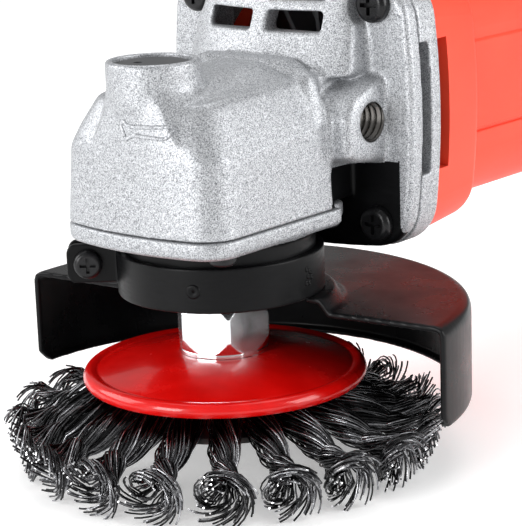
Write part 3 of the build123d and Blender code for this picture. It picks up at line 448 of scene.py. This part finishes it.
def clear_of_button(place):
    """Keeps the bore of the tower wide and deep enough for the pressed button."""
    x, y, z = place.T / MM
    off = np.hypot(x, y - LOCK_Y)
    ledge = (off < BORE_R + 0.2) & (off > 4.0) & (np.abs(z - BORE_Z) < 0.9)
    wall = (off > BORE_R - 0.9) & (off < BORE_R + 0.15) & (z > BORE_Z - 0.3) & (z < LOCK_TOP - 0.2)
    push = (BORE_R + 0.15) / np.maximum(off, 1.0)
    place[wall, 0] = (x * push)[wall] * MM
    place[wall, 1] = (LOCK_Y + (y - LOCK_Y) * push)[wall] * MM
    place[ledge, 2] = np.minimum(z, BORE_Z - 0.25)[ledge] * MM
    return place


def cast_head():
    """The gear housing with the soft blends of a casting, drawn over its CAD shape."""
    mesh = skin_of(flat_copy("gear_housing"), HEAD_CELL)
    place = places_of(mesh)
    x, y, z = place.T / MM
    raised = (z > 38.5) & (y < 10.0) & (np.hypot(x, y - LOCK_Y) > LOCK_R + 0.1)
    place[raised, 2] = np.minimum(z, head_top(x, y))[raised] * MM
    share = relax(mesh, head_softness(place / MM)[:, None], 0.6, 5)
    place = relax(mesh, place, 0.5 * share[:, 0], HEAD_ROUNDS)
    low = np.abs(place[:, 2] - PARTING_Z * MM) < 0.0003
    place[low, 2] += 0.0003
    back = place[:, 1] > (FLANGE_BACK - 0.1) * MM
    place[back, 1] -= 0.0002
    mesh.vertices.foreach_set("co", clear_of_button(place).ravel())
    head = dressed("cast_gear_head", mesh, "housing", "cast_silver", "gear_housing")
    # painted shade: faces in the room under the handle bosses take the black band paint, standing in for
    # the shadow there
    mesh.materials.append(SURFACES["band_black"])
    for face in mesh.polygons:
        x, y, z = face.center / MM
        in_shaded_room = POCKET_Y < y < FLANGE_BACK - 1.5 and abs(x) < POCKET_X
        if in_shaded_room and z < POCKET_Z + POCKET_CLIMB * abs(x) and face.normal.y < 0.8:
            face.material_index = 1
    return head


# outline of the arrow seen from the front, as (x, z): its head, then round its shaft
ARROW = [(-1.4, 48.6), (-0.4, 49.8), (0.5, 48.7), (2.6, 48.5), (8.6, 48.8), (12.6, 49.1), (13.3, 48.7),
         (12.3, 46.7), (11.2, 46.2), (7.0, 46.3), (3.0, 46.6), (1.5, 46.0), (0.4, 45.3)]
ARROW_R = 0.42
ARROW_FACING = Vector((0.1, -0.9, 0.4))


def arrow_line(head):
    """Raised outline of an arrow, laid on the front slope of the head."""
    skin = head.data
    tree = BVHTree.FromPolygons([v.co for v in skin.vertices], [tuple(p.vertices) for p in skin.polygons])
    centres = []
    closed = ARROW + ARROW[:1]
    for (x0, z0), (x1, z1) in zip(closed, closed[1:]):
        parts = max(2, round(math.hypot(x1 - x0, z1 - z0) / 0.3))
        for k in range(parts):
            t = k / parts
            start = Vector((x0 + (x1 - x0) * t, -60.0, z0 + (z1 - z0) * t)) * MM
            centres.append(tree.ray_cast(start, Vector((0, 1, 0)))[0])
    count = len(centres)
    eased = [(centres[i - 1] + centres[i] * 2 + centres[(i + 1) % count]) / 4 for i in range(count)]
    vertices, faces, sides = [], [], 8
    for i, centre in enumerate(eased):
        ahead = (eased[(i + 1) % count] - eased[i - 1]).normalized()
        out = ARROW_FACING.cross(ahead).normalized()
        up = ahead.cross(out).normalized()
        for k in range(sides):
            a = 2 * math.pi * k / sides
            vertices.append(centre + (out * math.cos(a) * 1.3 + up * math.sin(a) * 0.8) * ARROW_R * MM)
    for i in range(count):
        j = (i + 1) % count
        for k in range(sides):
            n = (k + 1) % sides
            faces.append((i * sides + k, i * sides + n, j * sides + n, j * sides + k))
    mesh = bpy.data.meshes.new("direction_arrow")
    mesh.from_pydata([tuple(v) for v in vertices], [], faces)
    return dressed("direction_arrow", mesh, "housing", "cast_silver")


def softened(name, node_name, body, surface, cell, rounds):
    """A CAD node with its edges eased."""
    mesh = skin_of(flat_copy(node_name), cell)
    place = relax(mesh, places_of(mesh), 0.5, rounds)
    mesh.vertices.foreach_set("co", place.ravel())
    return dressed(name, mesh, body, surface, node_name)


def cast_bearing_box():
    """The lower plate of the head, with its collar in shadow black."""
    plate = softened("cast_bearing_box", "bearing_box", "housing", "cast_silver", 0.0004, 5)
    plate.data.materials.append(SURFACES["band_black"])
    # painted shade: the collar faces inside the clamp band take the black band paint
    for face in plate.data.polygons:
        x, y, z = face.center / MM
        if z < COLLAR_Z and math.hypot(x, y) < COLLAR_R:
            face.material_index = 1


arrow_line(cast_head())
cast_bearing_box()
softened("cast_exhaust_ring", "exhaust_ring", "housing", "cast_silver", 0.0004, 3)
softened("rolled_clamp_band", "guard_clamp_band", "guard", "band_black", 0.00027, 4)
softened("pressed_guard", "guard", "guard", "guard_black", 0.00045, 4)


def lathe(name, profile, steps, body, surface, place=None, nodes=()):
    """Ring turned about Z from a closed line of (radius, height) points in millimetres."""
    rows = len(profile)
    vertices = []
    for k in range(steps):
        a = 2 * math.pi * k / steps
        vertices += [(r * math.cos(a) * MM, r * math.sin(a) * MM, z * MM) for r, z in profile]
    faces = []
    for k in range(steps):
        n = (k + 1) % steps
        for i in range(rows):
            j = (i + 1) % rows
            faces.append((k * rows + i, n * rows + i, n * rows + j, k * rows + j))
    mesh = bpy.data.meshes.new(name)
    mesh.from_pydata(vertices, [], faces)
    if place is not None:
        mesh.transform(place)
    return dressed(name, mesh, body, surface, *nodes)


def rounded_line(points, cuts):
    """Closed smooth line through points, with some cuts between each two."""
    count = len(points)
    line = []
    for i in range(count):
        p0, p1, p2, p3 = (Vector(points[(i + k - 1) % count]) for k in range(4))
        for c in range(cuts):
            t = c / cuts
            line.append(tuple(0.5 * (2 * p1 + (p2 - p0) * t + (2 * p0 - 5 * p1 + 4 * p2 - p3) * t * t
                                     + (3 * p1 - p0 - 3 * p2 + p3) * t ** 3)))
    return line


# ---- spring of the spindle lock ----
def lock_spring():
    """The coil spring, which on the tool closes up as the button is pressed; here it keeps its CAD shape.
    """
    spring = dressed("coil_spring", flat_copy("lock_spring"), "housing", "spring_steel", "lock_spring")
    spring.data.set_sharp_from_angle(angle=math.radians(40))
    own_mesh(spring)


lock_spring()


# ---- thread of the side handle ----
THREAD_PITCH, THREAD_DEPTH, THREAD_LENGTH = 1.75, 0.75, 13.0
THREAD_STEEL = metal("thread_steel", (0.2, 0.19, 0.18), 0.25)


def handle_thread(sign):
    """Cut thread inside a handle hole."""
    turns, rows = 64, 182
    vertices = []
    for i in range(rows + 1):
        along = THREAD_LENGTH * i / rows
        for k in range(turns):
            a = 2 * math.pi * k / turns
            phase = (along / THREAD_PITCH + k / turns) % 1.0
            crest = min(1.0, abs(2 * phase - 1) * 1.3)
            lead = smoothstep(along / 1.0)
            r = HOLE_R - 0.06 - THREAD_DEPTH * crest * lead
            x = sign * (BOSS_X - 0.35 - along)
            vertices.append((x * MM, (HOLE_Y + r * math.cos(a)) * MM, (HOLE_Z + r * math.sin(a)) * MM))
    faces = []
    for i in range(rows):
        for k in range(turns):
            n = (k + 1) % turns
            quad = (i * turns + k, i * turns + n, (i + 1) * turns + n, (i + 1) * turns + k)
            faces.append(quad if sign < 0 else quad[::-1])
    mesh = bpy.data.meshes.new("handle_thread")
    mesh.from_pydata(vertices, [], faces)
    side = "right" if sign > 0 else "left"
    dressed(f"handle_thread_{side}", mesh, "housing", "gear_steel")
    mesh.materials[0] = THREAD_STEEL


# ---- side panels of the motor housing ----
BODY_X = 29.6
PANEL_Y = (62.3, 147.0)
PANEL_Z = ((27.3, 33.25), (33.65, 57.7))
PANEL_RISE, PANEL_BEVEL = 0.6, 0.8


def side_panel(sign, low, high, name):
    """Raised field on the side of the body, with sloping edges."""
    rows = []
    for x, inset in ((BODY_X - 0.3, 0.0), (BODY_X + 0.02, 0.0), (BODY_X + PANEL_RISE, PANEL_BEVEL)):
        edge = inset if high - low > 8 else inset * 0.4
        y0, y1 = PANEL_Y[0], PANEL_Y[1] - inset
        rows += [(sign * x, y0, low + edge * 0.4), (sign * x, y1, low + edge * 0.4),
                 (sign * x, y1, high - edge), (sign * x, y0, high - edge)]
    faces = [(0, 1, 2, 3), (8, 9, 10, 11)]
    for i in (0, 4):
        for k in range(4):
            n = (k + 1) % 4
            faces.append((i + k, i + n, i + 4 + n, i + 4 + k))
    mesh = bpy.data.meshes.new(name)
    mesh.from_pydata([tuple(c * MM for c in v) for v in rows], [], faces)
    shape = bmesh.new()
    shape.from_mesh(mesh)
    bmesh.ops.recalc_face_normals(shape, faces=shape.faces)
    bmesh.ops.bevel(shape, geom=list(shape.edges), offset=0.12 * MM, segments=2, affect="EDGES")
    shape.to_mesh(mesh)
    shape.free()
    dressed(name, mesh, "housing", "housing_red")
    mesh.set_sharp_from_angle(angle=math.radians(30))


for side_sign, side_name in ((1, "right"), (-1, "left")):
    for (low, high), level in zip(PANEL_Z, ("lower", "upper")):
        side_panel(side_sign, low, high, f"{level}_panel_{side_name}")


# ---- punched marks on the clamp band ----
BAND_R = 25.98
DOTS = [(4.5, 9.8), (7.5, 9.0), (9.0, 7.6), (7.0, 6.2), (3.8, 6.4), (5.6, 8.0)]


def punched_mark(name, angle, height, radius, ring):
    """Small crater punched into the band."""
    low, crest, foot = 0.02, 0.3, -0.2
    profile = [(0.0, low), (radius - 2 * ring, 0.03), (radius - ring, crest),
               (radius, low), (radius, foot), (0.0, foot)]
    a = math.radians(angle)
    out = Vector((math.cos(a), math.sin(a), 0))
    side = Vector((-math.sin(a), math.cos(a), 0))
    turn = Matrix((side, Vector((0, 0, 1)), out)).transposed().to_4x4()
    place = Matrix.Translation((out * BAND_R + Vector((0, 0, height))) * MM) @ turn
    return lathe(name, profile, 40, "guard", "band_black", place)


punched_mark("punched_dimple", -64.3, 7.8, 1.8, 0.55)
for k, (angle, height) in enumerate(DOTS):
    punched_mark(f"stamped_dot_{k + 1}", angle, height, 0.75, 0.3)


# ---- hub nut and cap disc ----
NUT_TURN, NUT_HALF, NUT_LENGTH = 17.0, 11.0, 13.6
NUT_BORE, NUT_FACE_R, NUT_SLANT = 7.0, 11.15, 0.42  # bore, chamfer at the ends and its growth per mm
NUT_COLLAR_R, NUT_COLLAR = 11.3, 0.9
NECK_R, NECK_END = 9.6, -26.0


def hub_nut():
    """Hexagon hub with deep corner chamfers, and the bore that takes the spindle."""
    steps, rows = 360, 68
    vertices = []
    for i in range(rows + 1):
        z = -NUT_LENGTH * i / rows
        inset = min(-z, NUT_LENGTH - NUT_COLLAR + z)
        limit = min(12.5, NUT_FACE_R + NUT_SLANT * max(inset, 0.0))
        if z < NUT_COLLAR - NUT_LENGTH:
            limit = NUT_COLLAR_R
        for k in range(steps):
            off = (360 * k / steps - NUT_TURN) % 60 - 30
            r = min(NUT_HALF / math.cos(math.radians(off)), limit)
            a = math.radians(360 * k / steps)
            vertices.append((r * math.cos(a), r * math.sin(a), z))
    for i in range(rows + 1):
        z = -NUT_LENGTH + NUT_LENGTH * i / rows
        for k in range(steps):
            a = math.radians(360 * k / steps)
            vertices.append((NUT_BORE * math.cos(a), NUT_BORE * math.sin(a), z))
    total = 2 * (rows + 1)
    faces = []
    for i in range(total):
        j = (i + 1) % total
        for k in range(steps):
            n = (k + 1) % steps
            faces.append((i * steps + k, j * steps + k, j * steps + n, i * steps + n))
    mesh = bpy.data.meshes.new("hub_nut")
    mesh.from_pydata([tuple(c * MM for c in v) for v in vertices], [], faces)
    dressed("hexagon_hub_nut", mesh, "spindle", "nut_chrome", "brush_hub_nut")
    mesh.set_sharp_from_angle(angle=math.radians(12))
    neck = [(NUT_BORE, -NUT_LENGTH), (NECK_R, -NUT_LENGTH), (NECK_R, NECK_END + 0.4),
            (NECK_R - 0.4, NECK_END), (NUT_BORE, NECK_END)]
    lathe("hub_neck", neck, 96, "spindle", "nut_chrome").data.set_sharp_from_angle(angle=math.radians(30))


def cap_disc():
    """Red disc, domed round the hub, with a rolled rim."""
    outer = [(11.0, -13.75), (14.2, -13.65), (20.0, -14.6), (26.5, -16.1), (31.2, -17.35), (32.4, -17.75),
             (33.1, -17.5), (34.2, -17.25), (35.3, -17.7), (35.95, -18.8), (36.0, -19.9), (35.5, -20.8)]
    under = [(34.6, -20.9), (34.3, -19.6), (33.0, -19.2), (31.4, -18.8), (22.0, -16.6), (13.4, -15.0),
             (11.0, -14.9)]
    section = rounded_line(outer + under, 5)
    lathe("domed_cap_disc", section, 288, "spindle", "disc_red", nodes=("brush_cap_disc",))


hub_nut()
cap_disc()


# ---- wire brush ----
KNOTS = 20
FIRST_KNOT = 3.0  # its angle, in degrees
KNOT_TILT = 20.0
WIRES = 58
WIRE_R = 0.00024
STEPS = 30
GOLDEN_TURN = 137.508
MIDDLING, CUT, PAINTED_SHADE, PAINTED_GLINT = range(4)  # material places on a knot: middling steel, cut ends, and the darker and brighter wire copies that carry painted shade and painted glints


def lerp(points, t):
    """Value on a smooth line through (t, value) points."""
    for (t0, v0), (t1, v1) in zip(points, points[1:]):
        if t <= t1:
            return v0 + (v1 - v0) * smoothstep((t - t0) / (t1 - t0))
    return v1 + (v1 - v0) * (t - t1) / (t1 - t0)


# along a knot, from 0 under the disc to 1 at the wires' ends
KNOT_REACH = [(0.0, 25.0), (0.5, 42.5), (0.8, 50.0), (1.0, 54.2)]
KNOT_DROP = [(0.0, -24.2), (0.5, -30.6), (0.8, -33.6), (1.0, -35.2)]
KNOT_WIDTH = [(0.0, 4.3), (0.3, 4.1), (0.5, 2.8), (0.62, 3.4), (0.82, 6.6), (1.0, 8.5)]
KNOT_TURN = [(0.0, 0.0), (0.5, 95.0), (0.75, 190.0), (1.0, 285.0)]


def knot_wires(rng):
    """Wires of one knot, as lines of points with X outward, Y along the rim and Z up."""
    phase, swell = rng.uniform(0, 360), rng.uniform(0.93, 1.05)
    lines = []
    for w in range(WIRES):
        share = math.sqrt((w + 0.5) / WIRES)
        angle = phase + w * GOLDEN_TURN + rng.uniform(-5, 5)
        share = min(1.0, share * rng.uniform(0.94, 1.04))
        end = rng.uniform(0.9, 1.02) if rng.random() > 0.08 else rng.uniform(0.8, 1.04)
        loose = rng.uniform(0.96, 1.06) if rng.random() > 0.06 else rng.uniform(1.08, 1.2)
        lag = rng.uniform(-12, 12)
        points = []
        for i in range(STEPS):
            t = end * i / (STEPS - 1)
            open_up = smoothstep((t - 0.5) / 0.4)
            core = share * (1 - open_up) + (0.36 + 0.64 * share) * open_up
            rho = core * lerp(KNOT_WIDTH, t) * (1 + (loose * swell - 1) * open_up)
            a = math.radians(angle - lerp(KNOT_TURN, t) - lag * open_up)
            along = lerp(KNOT_REACH, t)
            drop = lerp(KNOT_DROP, t)
            points.append((along, rho * math.cos(a), drop, rho * math.sin(a)))
        lines.append(points)
    return lines


def wire_knot(index):
    """One twisted knot as its own piece."""
    rng = random.Random(4100 + index)
    turn = math.radians(FIRST_KNOT + 360 * index / KNOTS + rng.uniform(-0.7, 0.7))
    out = np.array((math.cos(turn), math.sin(turn), 0.0))
    side = np.array((-math.sin(turn), math.cos(turn), 0.0))
    up = np.array((0.0, 0.0, 1.0))
    tilt = math.radians(KNOT_TILT + rng.uniform(-1.5, 1.5))
    high = up * math.cos(tilt) + out * math.sin(tilt)
    vertices, faces, ends, shades = [], [], [], []
    sides = 6
    for line in knot_wires(rng):
        path = [out * r + side * y + up * z + high * v for r, y, z, v in line]
        path = np.array(path) * MM
        ring, quads = tube(path, WIRE_R, sides)
        base = len(vertices)
        vertices += ring
        # painted shade and painted glints: each wire takes the middling steel, the darker copy or the
        # brighter copy, at random
        shade = rng.choices((MIDDLING, PAINTED_SHADE, PAINTED_GLINT), (0.36, 0.4, 0.24))[0]
        shades += [shade] * (len(quads) + 2)
        faces += [tuple(base + k for k in q) for q in quads]
        last = base + len(ring) - sides
        ends.append(len(faces))
        faces.append(tuple(last + k for k in range(sides)))
        faces.append(tuple(base + k for k in reversed(range(sides))))
    knot = mesh_object(f"wire_knot_{index + 1:02d}", vertices, faces, SURFACES["wire_steel"])
    for surface in (CUT_STEEL, SHADE_PAINTED_WIRE, GLINT_PAINTED_WIRE):
        knot.data.materials.append(surface)
    knot.data.polygons.foreach_set("material_index", shades)
    for f in ends:
        knot.data.polygons[f].material_index = CUT
        knot.data.polygons[f].use_smooth = False
    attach(knot, "spindle")
    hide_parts("brush_wire_knots")


CUT_STEEL = metal("wire_cut_end", (0.9, 0.9, 0.92), 0.25)
# darker and brighter copies of the wire steel, as painted shade and painted glints
SHADE_PAINTED_WIRE = drawn_wire("wire_steel_painted_shade", 0.07)
GLINT_PAINTED_WIRE = drawn_wire("wire_steel_painted_glint", 0.85)
for index in range(KNOTS):
    wire_knot(index)
for side_sign in (1, -1):
    handle_thread(side_sign)


# ---- stage: floor, lights and camera ----
def floor():
    """Pale sheet just under the brush."""
    g = Graph("stage_floor")
    tone = g.mix(g.noise(14.0, 2.0), (0.9, 0.9, 0.9), (0.93, 0.93, 0.93))
    g.finish(base=tone, rough=0.7, specular=0.2, glow=(1.0, 1.0, 1.0), glow_strength=0.3)
    size, z = 4.0, CAD_BOX[0].z - 0.0025
    corners = [(-size, -size, z), (size, -size, z), (size, size, z), (-size, size, z)]
    obj = mesh_object("stage_floor_sheet", corners, [(0, 1, 2, 3)], g.material)


def softbox(name, place, aim, size, power):
    """Rectangular area light, turned towards a point."""
    light = bpy.data.lights.new(name, "AREA")
    light.shape = "RECTANGLE"
    light.size, light.size_y = size
    light.energy = power
    obj = bpy.data.objects.new(name, light)
    obj.location = place
    obj.rotation_euler = (Vector(aim) - Vector(place)).to_track_quat("-Z", "Y").to_euler()
    SCENE.collection.objects.link(obj)


def sky():
    """Even white light from all round."""
    world = bpy.data.worlds.new("studio")
    world.use_nodes = True
    background = world.node_tree.nodes["Background"]
    background.inputs["Color"].default_value = (1.0, 1.0, 1.0, 1.0)
    background.inputs["Strength"].default_value = 0.42
    SCENE.world = world


CAMERA_TURN = math.radians(40.0)
CAMERA_RISE = math.radians(14.2)
CAMERA_ROLL = math.radians(-2.0)
CAMERA_REACH, CAMERA_LENS = 0.5, 136.2


def camera():
    """Camera to the right of the front, a little above the object."""
    right = Vector((math.cos(CAMERA_TURN), math.sin(CAMERA_TURN), 0))
    away = Vector((-math.sin(CAMERA_TURN), math.cos(CAMERA_TURN), 0))
    up = Vector((0, 0, 1))
    forward = away * math.cos(CAMERA_RISE) - up * math.sin(CAMERA_RISE)
    above = away * math.sin(CAMERA_RISE) + up * math.cos(CAMERA_RISE)
    aim = right * 0.01005 + up * 0.008
    data = bpy.data.cameras.new("camera")
    data.lens, data.sensor_width = CAMERA_LENS, 36.0
    data.clip_start, data.clip_end = 0.01, 20.0
    obj = bpy.data.objects.new("camera", data)
    turn = Matrix((right, above, -forward)).transposed().to_4x4()
    roll = Matrix.Rotation(CAMERA_ROLL, 4, "Z")
    obj.matrix_world = Matrix.Translation(aim - forward * CAMERA_REACH) @ turn @ roll
    SCENE.collection.objects.link(obj)
    SCENE.camera = obj


floor()
sky()
softbox("left", (-1.0, -0.6, 0.55), (0, 0, 0.03), (0.9, 0.7), 9.0)
softbox("right", (0.95, 0.45, 0.35), (0, 0, 0.03), (0.8, 0.6), 9.0)
softbox("top", (-0.2, 0.3, 1.2), (0, 0.03, 0.02), (1.1, 1.1), 7.0)
softbox("front_low", (-0.1, -1.0, 0.25), (0, 0, 0.0), (0.4, 0.4), 6.0)
camera()
SCENE.view_settings.view_transform = "Standard"
